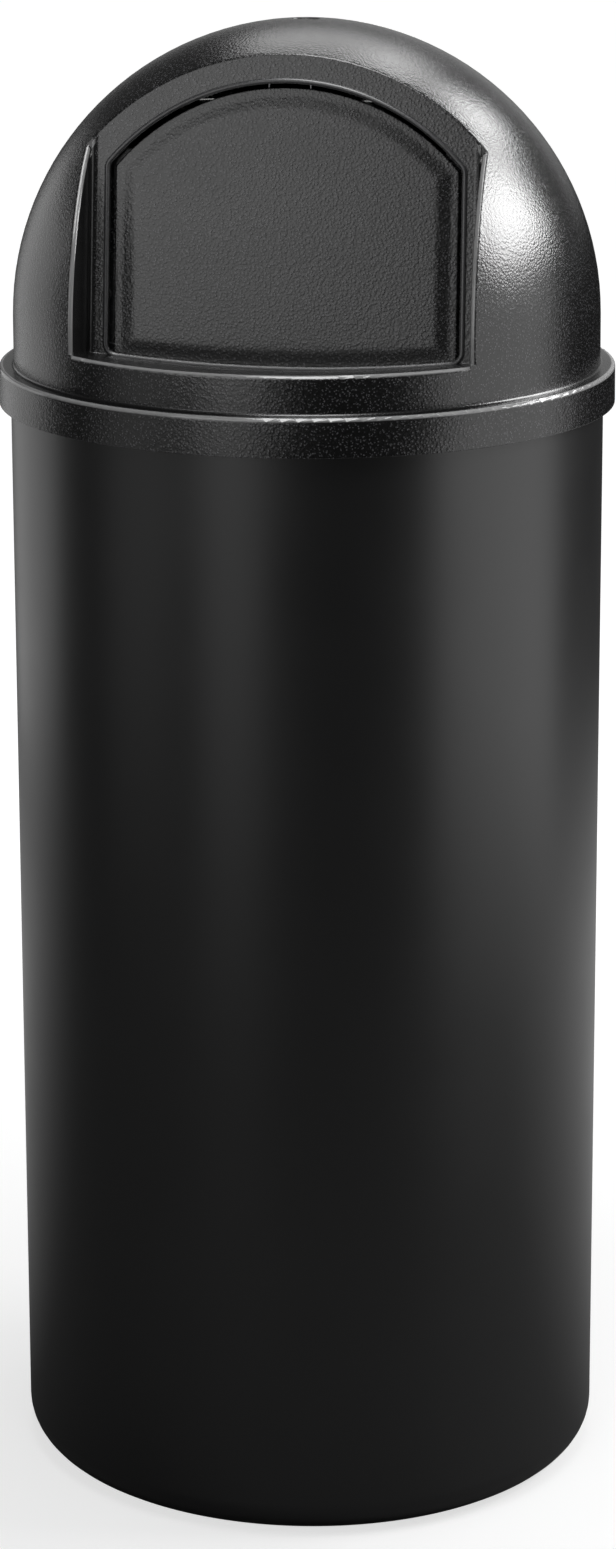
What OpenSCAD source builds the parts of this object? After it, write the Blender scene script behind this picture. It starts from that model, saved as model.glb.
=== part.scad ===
// Domed push-door waste container: a tapered round tub, and a lift-off hood
// with a sprung door that swings inward from a rod at the top of its arch.
// Origin: centre of the base on the floor. +Z is up and the door faces -Y.

/* [Overall] */
// Height from the floor to the top of the dome
body_height = 927; // [860:1:1050]
// Outer radius of the dome and of the short wall under it
dome_r = 186; // [182:0.5:194]
// Straight wall between the collar and the start of the dome
dome_wall_h = 31.5; // [26:0.5:45]
// How far the collar stands out beyond the dome
collar_step = 9.3; // [8:0.1:12]
// Height of the collar band
collar_h = 24; // [20:0.5:34]

/* [Tub] */
// Wall of the tub
tub_wall = 4; // [3:0.1:5]
// How much narrower the tub is at its base than under the collar, per side
tub_taper = 4; // [1:0.5:14]
// Radius of the rounded bottom edge
base_round = 22; // [14:1:30]
// Thickness of the floor
floor_t = 4; // [3:0.1:6]
// Height of the foot ring that the tub stands on
foot_h = 8; // [6:0.5:12]
// Width of the foot ring
foot_w = 16; // [10:1:24]
// Number of ribs under the floor
floor_ribs = 8; // [6:1:12]
// Height of the thickened rim band
rim_h = 10; // [7:0.5:12]
// How far the rim band stands out from the wall
rim_step = 3.2; // [2.6:0.1:4]

/* [Hood] */
// Wall of the dome
hood_wall = 4; // [3:0.1:5]
// Wall of the collar's skirt
skirt_wall = 3.5; // [3:0.1:4]
// Thickness of the ledge that rests on the tub's rim
ledge_t = 4; // [3:0.1:5]
// Depth of the lip that drops inside the tub
lip_h = 12; // [8:0.5:16]
// Thickness of that lip
lip_t = 2.5; // [2:0.1:3]
// Rounding of the collar's edges
collar_round = 2; // [1:0.1:2.5]
// Rounding of the recess's upright and arched edges
edge_round = 2.5; // [1.5:0.1:3.5]
// Radius of the moulding mark on top of the dome
gate_mark_r = 9; // [6:0.5:12]

/* [Recess and doorway] */
// Distance of the recessed face from the centre of the dome
recess_d = 90.5; // [86:0.5:96]
// How far the recessed face leans back
recess_tilt = 6.5; // [4:0.5:9]
// Half the width of the recess
recess_half_w = 121.5; // [118:0.5:126]
// Fillet between the recess's side walls and its face
recess_fillet = 5; // [3:0.5:6]
// Thickness of the recessed face
face_t = 4.5; // [4:0.1:5.5]
// Wall at the sides of the recess
side_t = 3.5; // [3:0.1:4.5]
// Height of the sill's front edge above the collar
sill_h = 24.5; // [18:0.5:27]
// Radius of the shallow dish that the sill is part of, falling towards the door
sill_dish_r = 950; // [700:10:1600]
// Rounding of the sill's front edge
sill_round = 3; // [2:0.1:4]
// Flat band left between the arch's edge and the doorway
band_top = 18; // [17:0.5:22]
// Flat band left beside the doorway
band_side = 12; // [10:0.5:14]
// Height of the arch's centre above the foot of the dome's centre
arch_lift = 2.5; // [0:0.5:5]
// Corner radius of the doorway
doorway_corner = 6; // [4:0.5:9]
// Height of the threshold above the sill
threshold_h = 1.8; // [1.6:0.1:3]
// Radius of the half-round bead round the doorway
bead_r = 1.6; // [1.2:0.1:1.8]

/* [Door] */
// Gap between the door and the doorway
door_gap = 2.5; // [2:0.1:3.5]
// How far the door's border lies behind the recessed face
door_set_back = 6; // [5.6:0.1:7]
// Skin of the door
door_skin = 3; // [2.4:0.1:3.5]
// Width of the flat border round the raised field
border_w = 7; // [5:0.5:10]
// Rise of the field above the border
field_rise = 1.5; // [0.8:0.1:2]
// How far the door's bottom hangs below the threshold's top, behind the sill
door_overhang = 3.8; // [2.5:0.1:4.5]
// How far the door's rear flange reaches past the doorway's sides
flange_reach = 7.5; // [6:0.5:9]
// Ribs and edge walls of the door
door_rib = 2.2; // [1.8:0.1:3]

/* [Hinge] */
// Radius of the steel hinge rod
rod_r = 3; // [2.5:0.1:3.5]
// Running clearance of the door's knuckles on the rod
rod_fit = 0.08; // [0.02:0.01:0.1]
// Drop of the rod below the top of the doorway
axis_drop = 10.5; // [9.5:0.5:13]
// Depth of the rod behind the recessed face
axis_depth = 20; // [19.5:0.5:22]
// Radius of the knuckles and of the brackets' bosses
knuckle_r = 7; // [6:0.5:7.5]
// Width of a knuckle
knuckle_w = 8; // [6:0.5:10]
// Distance of a knuckle from the middle of the door
knuckle_x = 40; // [38:1:44]
// Distance of a bracket from the middle of the door
bracket_x = 69; // [66:1:72]
// Width of a bracket's cheek
cheek_w = 6; // [5:0.5:8]
// Width of the bracket's curved foot
bracket_foot_w = 11; // [10:0.5:12]
// Thickness of the bracket's foot
bracket_foot_t = 3; // [2.5:0.1:4]
// Half the angle that the bracket's foot spans
bracket_foot_span = 12.5; // [11:0.5:14]
// Height of the pad that the bracket is screwed to
pad_t = 4; // [3:0.5:4.5]
// Shank radius of the bracket screws
screw_r = 1.9; // [1.5:0.1:2.1]
// Head radius of the bracket screws
screw_head_r = 3.6; // [3:0.1:4]

/* [Springs and buffers] */
// Radius of the spring wire
wire_r = 0.8; // [0.6:0.05:0.9]
// Mean radius of the spring coil
coil_r = 4.3; // [4.2:0.1:4.6]
// Turns in one spring
coil_turns = 7; // [4:1:8]
// Distance between turns
coil_pitch = 2.4; // [2.2:0.1:2.5]
// Distance from the middle of the door to the spring's first turn
spring_x = 13; // [11:0.5:14]
// Length of the leg that bears on the hood
hood_leg = 20; // [18:1:22]
// Length of the leg that bears on the door
door_leg = 42; // [30:1:60]
// Radius of a rubber buffer's head
buffer_r = 4; // [3:0.1:4.4]
// Thickness of a buffer's head
buffer_t = 3.4; // [2:0.1:4]
// Radius of a buffer's stem
buffer_stem_r = 2; // [1.5:0.1:2.5]
// Thickness of the band that holds a bag on the rim
band_t = 2.2; // [1.5:0.1:2.4]
// Width of that band
band_h = 6; // [4:0.5:7]

/* [Hidden] */
$fn = 96;

// Gap kept where two pieces rest against each other
seat_gap = 0.3;
// Sliding fit of the skirt on the tub's rim
rim_fit = 0.6;
// Sliding fit of the hood's lip inside the tub
lip_fit = 0.8;
// Fit of pressed or screwed pieces in their holes
hole_fit = 0.05;
// How deep a rounding cutter bites past the tangent of the faces it joins,
// so that it crosses them and leaves no sliver
round_bite = 0.06;
corner_bite = 0.02;
// Depth of the flat left at the pole inside the dome
pole_flat = 0.02;
// How far a cutter's corner stays inside the edge that it has to clear
corner_share = 0.999;
// Depth of the moulding mark on top of the dome
gate_mark_depth = 0.8;
// Chamfer of the tub's rim
rim_chamfer = 1.5;
// Ribs and rings under the floor: thickness, how deep they start inside the
// floor's underside, and the radius of the innermost ring
floor_rib_t = 3;
floor_rib_bite = 2.5;
hub_r = 20;
// Draft of the foot ring's inner wall
foot_draft = 2;
// Gussets under the sill: thickness, reach along the sill and along the wall
gusset_t = 2.5;
gusset_reach = 46;
gusset_foot = 12;
gusset_angles = [-36, -18, 0, 18, 36];
// Least corner radius of an outline drawn inside the doorway's
least_corner = 1.5;
// Width of the slope between the door's border and its field
field_slope = 3;
// Thickness of the door's rear flange
flange_t = 2.5;
// How far the rear flange reaches above the doorway's upper corners
flange_rise = 12;
// How far the rear flange's bottom edge stays above the door's
flange_lift = 1;
// How far the knuckles' webs run down the door from the rod
knuckle_drop = 22;
// Gap between a bracket's foot and the dome's inner face
arch_clearance = 1.5;
// How much wider the pad is than the foot that it carries, on every side
pad_margin = 0.8;
// Angle from the end of a bracket's foot to its screw
screw_edge = 4.5;
// Length of a bracket screw's shank, and its head's height, taper and cross
screw_len = 9;
screw_head_h = 2.2;
screw_taper = 0.8;
cross_len = 4;
cross_w = 1;
cross_depth = 1;
// How far the rod reaches past the brackets, and its chamfered ends
rod_end = 4;
rod_chamfer = 0.6;
rod_chamfer_len = 0.8;
// Push-on cap: flange and sleeve beyond the rod's radius, and their lengths
cap_flange = 2.6;
cap_flange_t = 1;
cap_sleeve = 1.3;
cap_len = 3;
// Block that a spring's upper leg rests on, and how far it lies from its end
rest_w = 6;
rest_setback = 7;
// Gap between a buffer and the doorway, and the rows of buffers measured from
// the doorway's bottom and from its upper corners
buffer_margin = 0.5;
low_row_rise = 41;
high_row_drop = 9;
buffer_stem = 4.5;
buffer_chamfer = 0.6;
// Rounding of the band's outer edges
band_round = 0.8;

dome_z = body_height - dome_r;
collar_r = dome_r + collar_step;
ledge_top = dome_z - dome_wall_h;
ledge_bottom = ledge_top - ledge_t;
collar_bottom = ledge_top - collar_h;
skirt_inner_r = collar_r - skirt_wall;
dome_inner_r = dome_r - hood_wall;

rim_top = ledge_bottom - seat_gap;
rim_bottom = rim_top - rim_h;
rim_r = skirt_inner_r - rim_fit;
tub_top_r = rim_r - rim_step;
base_r = tub_top_r - tub_taper;
floor_z = foot_h + floor_t;
foot_inner_r = base_r - base_round - foot_w;
rim_inner_r = tub_top_r - tub_wall;
lip_outer_r = rim_inner_r - lip_fit;

// The sill is a shallow dish, the underside of a large ball on the part's axis
sill_z = ledge_top + sill_h;
dish_z = sill_z + sqrt(sill_dish_r * sill_dish_r - dome_r * dome_r);
function sill_at(r) = dish_z - sqrt(sill_dish_r * sill_dish_r - r * r);

// Outline of the doorway, in the plane of the recessed face. Its zero is the
// foot of the dome's centre on that plane, with X across and Y up the face.
arch_edge_r = sqrt(dome_r * dome_r - recess_d * recess_d);
arch_r = arch_edge_r - band_top - arch_lift;
half_w = recess_half_w - band_side;
// The dish cuts that plane in an arc, and the threshold runs parallel to it
bottom_centre = (dish_z - dome_z) * cos(recess_tilt);
dish_depth = (dish_z - dome_z) * sin(recess_tilt) - recess_d;
bottom_r = sqrt(sill_dish_r * sill_dish_r - dish_depth * dish_depth) - threshold_h;
bottom_y = bottom_centre - bottom_r;
corner_x = half_w - doorway_corner;
top_corner_y = arch_lift + sqrt(pow(arch_r - doorway_corner, 2) - pow(corner_x, 2));

// Levels across the face, measured outward from its front
face_back = -face_t;
door_front = -door_set_back;
door_back = -axis_depth + coil_r + wire_r + seat_gap;
axis_y = arch_lift + arch_r - axis_drop;
door_drop = door_overhang + door_gap;
flange_top_y = top_corner_y + flange_rise;
rib_x = spring_x + coil_turns * coil_pitch;
knuckle_foot_y = axis_y - knuckle_drop;

// Bracket feet follow the arch just inside the dome's inner face
foot_outer_r = sqrt(pow(dome_inner_r, 2) - pow(recess_d - face_t, 2)) - arch_lift - arch_clearance;
foot_inner = foot_outer_r - bracket_foot_w;
foot_mid_r = foot_outer_r - bracket_foot_w / 2;
bracket_angle = acos(bracket_x / foot_mid_r);
screw_swing = bracket_foot_span - screw_edge;
pad_back = face_back - pad_t;
foot_back = pad_back - bracket_foot_t;
rod_half = bracket_x + cheek_w / 2 + rod_end;

// Buffers stand on bosses beside the doorway
buffer_x = half_w + buffer_r + buffer_margin;
buffer_rows = [bottom_y + low_row_rise, top_corner_y - high_row_drop];
buffer_back = door_back + seat_gap;
boss_back = buffer_back + buffer_t;

hood_grey = [0.10, 0.10, 0.105];
tub_grey = [0.13, 0.13, 0.135];

// Puts a child drawn on the recessed face (X across, Y up, Z outward) in place
module on_face() {
    translate([0, 0, dome_z])
        rotate([90 - recess_tilt, 0, 0])
            translate([0, 0, recess_d])
                children();
}

// A slab on the face between two levels
module face_slab(back, front) {
    translate([0, 0, back])
        linear_extrude(front - back)
            children();
}

// A round bar along X through the hinge axis, from x0 to x1
module axis_bar(r, x0, x1) {
    translate([x0, axis_y, -axis_depth])
        rotate([0, 90, 0])
            cylinder(r = r, h = x1 - x0);
}

// Extrudes a profile drawn in (outward, up) coordinates along X
module across(x0, x1) {
    translate([x0, 0, 0])
        multmatrix([[0, 0, 1, 0], [0, 1, 0, 0], [1, 0, 0, 0], [0, 0, 0, 1]])
            linear_extrude(x1 - x0)
                children();
}

// The doorway's arched outline grown by g, with its bottom lowered by drop.
// Round corners share one centre, so every grown copy stays concentric.
module arch_outline(g, drop) {
    r = max(doorway_corner + g, least_corner);
    x = half_w + g - r + corner_bite;
    low_centre = bottom_centre - drop;
    top_y = arch_lift + sqrt(pow(arch_r + g - r + corner_bite, 2) - x * x);
    low_y = low_centre - sqrt(pow(bottom_r + g - r + corner_bite, 2) - x * x);
    top_angle = atan2(top_y - arch_lift, x);
    low_angle = atan2(low_y - low_centre, x);
    difference() {
        intersection() {
            translate([-half_w - g, low_centre - bottom_r - g - 1])
                square([2 * (half_w + g), arch_r + bottom_r]);
            translate([0, arch_lift])
                circle(arch_r + g);
            translate([0, low_centre])
                circle(bottom_r + g, $fn = 4 * $fn);
        }
        for (m = [0, 1])
            mirror([m, 0]) {
                difference() {
                    polygon([[x, top_y],
                             [half_w + g + 2, top_y],
                             [half_w + g + 2, arch_lift + (arch_r + g) * sin(top_angle) + 2],
                             [(arch_r + g + 1) * cos(top_angle),
                              arch_lift + (arch_r + g + 1) * sin(top_angle)]]);
                    translate([x, top_y])
                        circle(r);
                }
                difference() {
                    polygon([[x, low_y],
                             [half_w + g + 2, low_y],
                             [half_w + g + 2, low_centre + (bottom_r + g) * sin(low_angle) - 2],
                             [(bottom_r + g + 1) * cos(low_angle),
                              low_centre + (bottom_r + g + 1) * sin(low_angle)]]);
                    translate([x, low_y])
                        circle(r);
                }
            }
    }
}

// Angles of the two level steps that make the bead's half-round section
bead_steps = [25, 60];

// Doorway's surround as raised by the outer half of the bead
module bead_outside() {
    for (a = bead_steps)
        face_slab(face_back / 2, bead_r * sin(a))
            arch_outline(bead_r * (1 + cos(a)), 0);
}

// Doorway, stepped outward at its front for the inner half of the bead
module doorway() {
    face_slab(face_back - 1, 4)
        arch_outline(0, 0);
    for (i = [1 : len(bead_steps) - 1])
        face_slab(bead_r * sin(bead_steps[i - 1]), 4)
            arch_outline(bead_r * (1 - cos(bead_steps[i])), 0);
}

// Space of the recess, grown by the given walls on its face, sides and sill
module recess_space(face_grow, side_grow, sill_grow) {
    w = recess_half_w + side_grow;
    r = recess_fillet + side_grow;
    intersection() {
        on_face()
            rotate([-90, 0, 0])
                translate([0, 0, -dome_r])
                    linear_extrude(2 * dome_r)
                        mirror([0, 1]) {
                            translate([-w + r, -face_grow])
                                square([2 * (w - r), dome_r]);
                            translate([-w, -face_grow + r])
                                square([2 * w, dome_r]);
                            for (side = [-1, 1])
                                translate([side * (w - r), -face_grow + r])
                                    circle(r);
                        }
        rotate_extrude()
            intersection() {
                translate([0, dish_z])
                    circle(sill_dish_r + sill_grow, $fn = 15 * $fn);
                translate([0, ledge_bottom])
                    square([dome_r + 20, dome_r + 2 * collar_h + dome_wall_h]);
            }
    }
}

// Ring-shaped cutter that rounds the edge where a sphere of radius R is cut by
// a plane at distance d. The solid lies beyond the plane when side is 1. The
// round bites in by a hair, so that it crosses both faces and isn't tangent.
module sphere_edge_cutter(R, d, side, r) {
    h = d + side * (r - round_bite);
    c = sqrt(pow(R - r + round_bite, 2) - h * h);
    k = R / (R - r);
    edge = sqrt(R * R - d * d);
    rotate_extrude()
        difference() {
            polygon([[c, h], [c, d - side], [edge + 1, d - side], [c * k + 1, h * k],
                     [c * k * corner_share, h * k * corner_share]]);
            translate([c, h])
                circle(r, $fn = 32);
        }
}

// Arched edge between the dome and the recessed face
module round_arch() {
    intersection() {
        translate([0, 0, dome_z])
            rotate([90 - recess_tilt, 0, 0])
                sphere_edge_cutter(dome_r, recess_d, -1, edge_round);
        translate([-recess_half_w - 1, -dome_r - 1, dome_z])
            cube([2 * recess_half_w + 2, dome_r, dome_r + 2]);
    }
}

// Upright edge between the dome and one side wall of the recess
module round_side(side) {
    intersection() {
        translate([0, 0, dome_z])
            rotate([0, side * 90, 0])
                sphere_edge_cutter(dome_r, recess_half_w, 1, edge_round);
        on_face()
            translate([-dome_r, -dome_r, -edge_round / 4])
                cube([2 * dome_r, 2 * dome_r, dome_r]);
        translate([-dome_r, -2 * dome_r, sill_z + seat_gap])
            cube([2 * dome_r, 2 * dome_r, dome_r]);
    }
}

// Front edge of the sill. The cutter starts on the line from the round's
// centre square to the sill, where the round still stands clear of the sill.
module round_sill() {
    r = dome_r - sill_round + round_bite;
    centre_r = sill_dish_r + sill_round - round_bite;
    z = dish_z - sqrt(centre_r * centre_r - r * r);
    reach = sill_round + 2;
    intersection() {
        rotate_extrude()
            difference() {
                polygon([[r, z], [dome_r + 1, z], [dome_r + 1, z + reach],
                         [r * (1 - reach / centre_r), z + (dish_z - z) * reach / centre_r]]);
                translate([r, z])
                    circle(sill_round, $fn = 32);
            }
        translate([-recess_half_w - 0.5, -dome_r - 2, z - 1])
            cube([2 * recess_half_w + 1, dome_r, reach + 2]);
    }
}

// Outer shape of the hood, turned round its axis
module hood_outer() {
    rotate_extrude($fn = 2 * $fn) {
        intersection() {
            translate([0, dome_z])
                circle(dome_r);
            translate([0, dome_z])
                square([dome_r, dome_r]);
        }
        translate([0, collar_bottom])
            square([dome_r, dome_z - collar_bottom]);
        // collar band with a rounded upper edge
        translate([0, collar_bottom])
            square([collar_r, collar_h - collar_round]);
        translate([0, collar_bottom])
            square([collar_r - collar_round, collar_h]);
        translate([collar_r - collar_round, ledge_top - collar_round])
            circle(collar_round, $fn = 32);
        // fillet between the ledge and the dome's wall
        difference() {
            translate([dome_r - 1, ledge_top - 1])
                square(collar_round - round_bite + 1);
            translate([dome_r + collar_round - round_bite, ledge_top + collar_round - round_bite])
                circle(collar_round, $fn = 32);
        }
    }
}

// Hollow under the dome and inside the skirt
module hood_hollow() {
    rotate_extrude($fn = 2 * $fn) {
        intersection() {
            translate([0, dome_z])
                circle(dome_inner_r);
            translate([0, dome_z])
                square([dome_inner_r, dome_inner_r - pole_flat]);
        }
        translate([0, ledge_bottom - 1])
            square([dome_inner_r, dome_z - ledge_bottom + 1]);
        translate([0, collar_bottom - 1])
            square([skirt_inner_r, ledge_bottom - collar_bottom + 1]);
    }
}

// Curved pad or foot that follows the arch behind the face, on one side
module arch_sector(inner, outer, span) {
    intersection() {
        translate([0, arch_lift])
            difference() {
                circle(outer);
                circle(inner);
            }
        translate([0, arch_lift])
            polygon([[0, 0],
                     [2 * outer * cos(bracket_angle - span), 2 * outer * sin(bracket_angle - span)],
                     [2 * outer * cos(bracket_angle + span), 2 * outer * sin(bracket_angle + span)]]);
    }
}

// Places a child at each bracket screw of one side
module at_bracket_screws() {
    for (swing = [-screw_swing, screw_swing])
        translate([foot_mid_r * cos(bracket_angle + swing),
                   arch_lift + foot_mid_r * sin(bracket_angle + swing), 0])
            children();
}

module at_buffers() {
    for (side = [-1, 1])
        for (y = buffer_rows)
            translate([side * buffer_x, y, 0])
                children();
}

// Gusset that stiffens the sill from below, drawn as radius and height
module sill_gusset() {
    rotate([90, 0, 0])
        translate([0, 0, -gusset_t / 2])
            linear_extrude(gusset_t)
                polygon([[dome_inner_r + 1, ledge_top],
                         [dome_inner_r + 1, sill_at(dome_inner_r) - hood_wall / 2],
                         [dome_inner_r - gusset_reach, sill_at(dome_inner_r - gusset_reach) - hood_wall / 2],
                         [dome_inner_r - gusset_foot, ledge_top]]);
}

// Dome and collar with the recess pressed into them, one wall all over
module hood_shell() {
    difference() {
        hood_outer();
        recess_space(0, 0, 0);
        difference() {
            hood_hollow();
            recess_space(face_t, side_t, hood_wall);
        }
    }
}

// The shell with its edges rounded, its doorway cut and the moulding mark
module hood_moulding() {
    difference() {
        hood_shell();
        round_arch();
        round_side(1);
        round_side(-1);
        round_sill();
    }
}

module hood() {
    color(hood_grey)
    difference() {
        union() {
            difference() {
                union() {
                    hood_moulding();
                    on_face()
                        bead_outside();
                }
                on_face()
                    doorway();
                translate([0, 0, body_height - gate_mark_depth])
                    cylinder(r = gate_mark_r, h = 2);
            }
            // lip that drops inside the tub's rim
            rotate_extrude($fn = 2 * $fn)
                translate([lip_outer_r - lip_t, ledge_bottom - lip_h])
                    square([lip_t, lip_h + ledge_t / 2]);
            // gussets under the sill
            for (a = gusset_angles)
                rotate([0, 0, a - 90])
                    sill_gusset();
            on_face() {
                // pads for the hinge brackets
                for (m = [0, 1])
                    mirror([m, 0, 0])
                        face_slab(pad_back, face_back + 1)
                            arch_sector(foot_inner - pad_margin, foot_outer_r + pad_margin,
                                        bracket_foot_span + 1);
                // bosses for the buffers
                at_buffers()
                    translate([0, 0, boss_back])
                        cylinder(r = buffer_r, h = face_back + 1 - boss_back);
                // rests for the springs' upper legs
                for (side = [-1, 1])
                    translate([side * spring_x - rest_w / 2, axis_y + hood_leg - rest_setback, door_back])
                        cube([rest_w, rest_w, face_back + 1 - door_back]);
            }
        }
        on_face() {
            for (m = [0, 1])
                mirror([m, 0, 0])
                    at_bracket_screws()
                        translate([0, 0, foot_back - 1])
                            cylinder(r = screw_r + hole_fit, h = screw_len + 1.5);
            at_buffers()
                translate([0, 0, boss_back - 1])
                    cylinder(r = buffer_stem_r + hole_fit, h = buffer_stem + 1.5);
        }
    }
}

module tub() {
    inner_round = base_round - tub_wall;
    inner_r = base_r - tub_wall;
    color(tub_grey)
    union() {
        rotate_extrude($fn = 2 * $fn)
            difference() {
                union() {
                    polygon([[0, 0], [base_r - base_round, 0], [base_r - base_round, base_round],
                             [base_r, base_round], [tub_top_r, rim_bottom],
                             [rim_r, rim_bottom + rim_step], [rim_r, rim_top - rim_chamfer],
                             [rim_r - rim_chamfer, rim_top], [0, rim_top]]);
                    translate([base_r - base_round, base_round])
                        circle(base_round);
                }
                union() {
                    polygon([[0, floor_z], [inner_r - inner_round, floor_z],
                             [inner_r - inner_round, floor_z + inner_round],
                             [inner_r, floor_z + inner_round],
                             [rim_inner_r, rim_bottom], [rim_inner_r, rim_top + 1], [0, rim_top + 1]]);
                    translate([inner_r - inner_round, floor_z + inner_round])
                        circle(inner_round);
                }
                polygon([[0, -1], [foot_inner_r, -1], [foot_inner_r - foot_draft, foot_h], [0, foot_h]]);
            }
        // ribs under the floor
        for (i = [0 : floor_ribs - 1])
            rotate([0, 0, i * 360 / floor_ribs])
                translate([hub_r - floor_rib_t + 1, -floor_rib_t / 2, floor_rib_bite])
                    cube([foot_inner_r - hub_r + floor_rib_t - 1, floor_rib_t, foot_h - 2]);
        for (r = [hub_r, foot_inner_r / 2])
            translate([0, 0, floor_rib_bite])
                difference() {
                    cylinder(r = r, h = foot_h - 2);
                    translate([0, 0, -1])
                        cylinder(r = r - floor_rib_t, h = foot_h);
                }
    }
}

// Rubber band round the tub's neck, which grips a bag folded over the rim
module bag_band() {
    neck_r = tub_top_r + seat_gap;
    color([0.22, 0.21, 0.20])
    rotate_extrude($fn = 2 * $fn)
        translate([neck_r, rim_bottom - seat_gap - band_h]) {
            translate([0, band_round])
                square([band_t, band_h - 2 * band_round]);
            square([band_t - band_round, band_h]);
            for (y = [band_round, band_h - band_round])
                translate([band_t - band_round, y])
                    circle(band_round, $fn = 24);
        }
}

// Cheek of a bracket or knuckle, in (outward, up) coordinates
module hinge_web(foot_level, y0, y1) {
    polygon([[foot_level, y0], [foot_level, y1],
             [-axis_depth, axis_y + knuckle_r], [-axis_depth - 0.86 * knuckle_r, axis_y - knuckle_r / 2]]);
    translate([-axis_depth, axis_y])
        circle(knuckle_r);
}

module hinge_bracket() {
    cheek_y = arch_lift + sqrt(pow(foot_inner, 2) - pow(bracket_x, 2));
    on_face()
        difference() {
            union() {
                face_slab(foot_back, pad_back)
                    arch_sector(foot_inner, foot_outer_r, bracket_foot_span);
                across(bracket_x - cheek_w / 2, bracket_x + cheek_w / 2)
                    hinge_web(foot_back + 1, cheek_y, cheek_y + bracket_foot_w);
            }
            axis_bar(rod_r + hole_fit, bracket_x - cheek_w, bracket_x + cheek_w);
            at_bracket_screws()
                translate([0, 0, foot_back - 1])
                    cylinder(r = screw_r + 4 * hole_fit, h = bracket_foot_t + 2);
        }
}

module hinge_bracket_right() {
    color([0.80, 0.79, 0.75])
    hinge_bracket();
}

module hinge_bracket_left() {
    color([0.80, 0.79, 0.75])
    mirror([1, 0, 0])
        hinge_bracket();
}

// Four pan-head screws that hold the brackets
module bracket_screws() {
    color("silver")
    for (m = [0, 1])
        mirror([m, 0, 0])
            on_face()
                at_bracket_screws() {
                    translate([0, 0, foot_back])
                        cylinder(r = screw_r, h = screw_len - 1);
                    difference() {
                        translate([0, 0, foot_back - screw_head_h])
                            cylinder(r1 = screw_head_r - screw_taper, r2 = screw_head_r, h = screw_head_h);
                        for (a = [0, 90])
                            rotate([0, 0, a])
                                translate([-cross_len / 2, -cross_w / 2, foot_back - screw_head_h - 1])
                                    cube([cross_len, cross_w, 1 + cross_depth]);
                    }
                }
}

module hinge_rod() {
    color("silver")
    on_face() {
        axis_bar(rod_r, -rod_half, rod_half);
        for (side = [-1, 1])
            translate([side * rod_half, axis_y, -axis_depth])
                rotate([0, side * 90, 0])
                    cylinder(r1 = rod_r, r2 = rod_r - rod_chamfer, h = rod_chamfer_len);
    }
}

// Push-on caps that keep the rod from sliding out
module rod_caps() {
    cap_x = bracket_x + cheek_w / 2 + seat_gap;
    color("dimgray")
    on_face()
        for (side = [-1, 1])
            translate([side * cap_x, axis_y, -axis_depth])
                rotate([0, side * 90, 0])
                    rotate_extrude()
                        difference() {
                            union() {
                                square([rod_r + cap_flange, cap_flange_t]);
                                square([rod_r + cap_sleeve, cap_len]);
                            }
                            translate([-1, -1])
                                square([rod_r + hole_fit + 1, cap_len + 2]);
                        }
}

// Centre line of the right-hand spring: down the upper leg, round the turns
// and down the lower leg. Each entry is a point and the direction to the
// outside of the coil there, in face coordinates.
coil_steps = 8;
function coil_point(i) =
    let (a = -360 * i / coil_steps)
    [[spring_x + coil_pitch * i / coil_steps, axis_y + coil_r * sin(a), -axis_depth + coil_r * cos(a)],
     [0, sin(a), cos(a)]];
first_turn = coil_point(0);
last_turn = coil_point(coil_turns * coil_steps);
spring_line = concat(
    [[first_turn[0] + [0, hood_leg, 0], first_turn[1]], [first_turn[0] + [0, 2 * wire_r, 0], first_turn[1]]],
    [for (i = [0 : coil_turns * coil_steps]) coil_point(i)],
    [[last_turn[0] - [0, 2 * wire_r, 0], last_turn[1]], [last_turn[0] - [0, door_leg, 0], last_turn[1]]]);

// Least gap between stretches of the wire that are over half a turn apart
spring_count = len(spring_line);
spring_gap = min([for (i = [0 : spring_count - 1], j = [i + coil_steps / 2 + 1 : 1 : spring_count - 1])
    norm(spring_line[i][0] - spring_line[j][0])]) - 2 * wire_r;
echo(spring_gap = spring_gap);

module spring_wire() {
    sides = 6;
    points = [for (i = [0 : spring_count - 1])
        let (before = spring_line[max(i - 1, 0)][0],
             after = spring_line[min(i + 1, spring_count - 1)][0],
             along = (after - before) / norm(after - before),
             out = spring_line[i][1],
             across = cross(along, out))
        for (k = [0 : sides - 1])
            spring_line[i][0] + wire_r * (cos(60 * k) * out + sin(60 * k) * across)];
    walls = [for (i = [0 : spring_count - 2]) for (k = [0 : sides - 1])
        let (a = sides * i + k,
             b = sides * i + (k + 1) % sides)
        each [[a, a + sides, b + sides], [a, b + sides, b]]];
    first = [for (k = [1 : sides - 2]) [0, k, k + 1]];
    last_ring = sides * (spring_count - 1);
    last = [for (k = [1 : sides - 2]) [last_ring, last_ring + k + 1, last_ring + k]];
    polyhedron(points, concat(walls, first, last));
}

module door_spring_right() {
    color("gainsboro")
    on_face()
        spring_wire();
}

module door_spring_left() {
    color("gainsboro")
    mirror([1, 0, 0])
        on_face()
            spring_wire();
}

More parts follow.
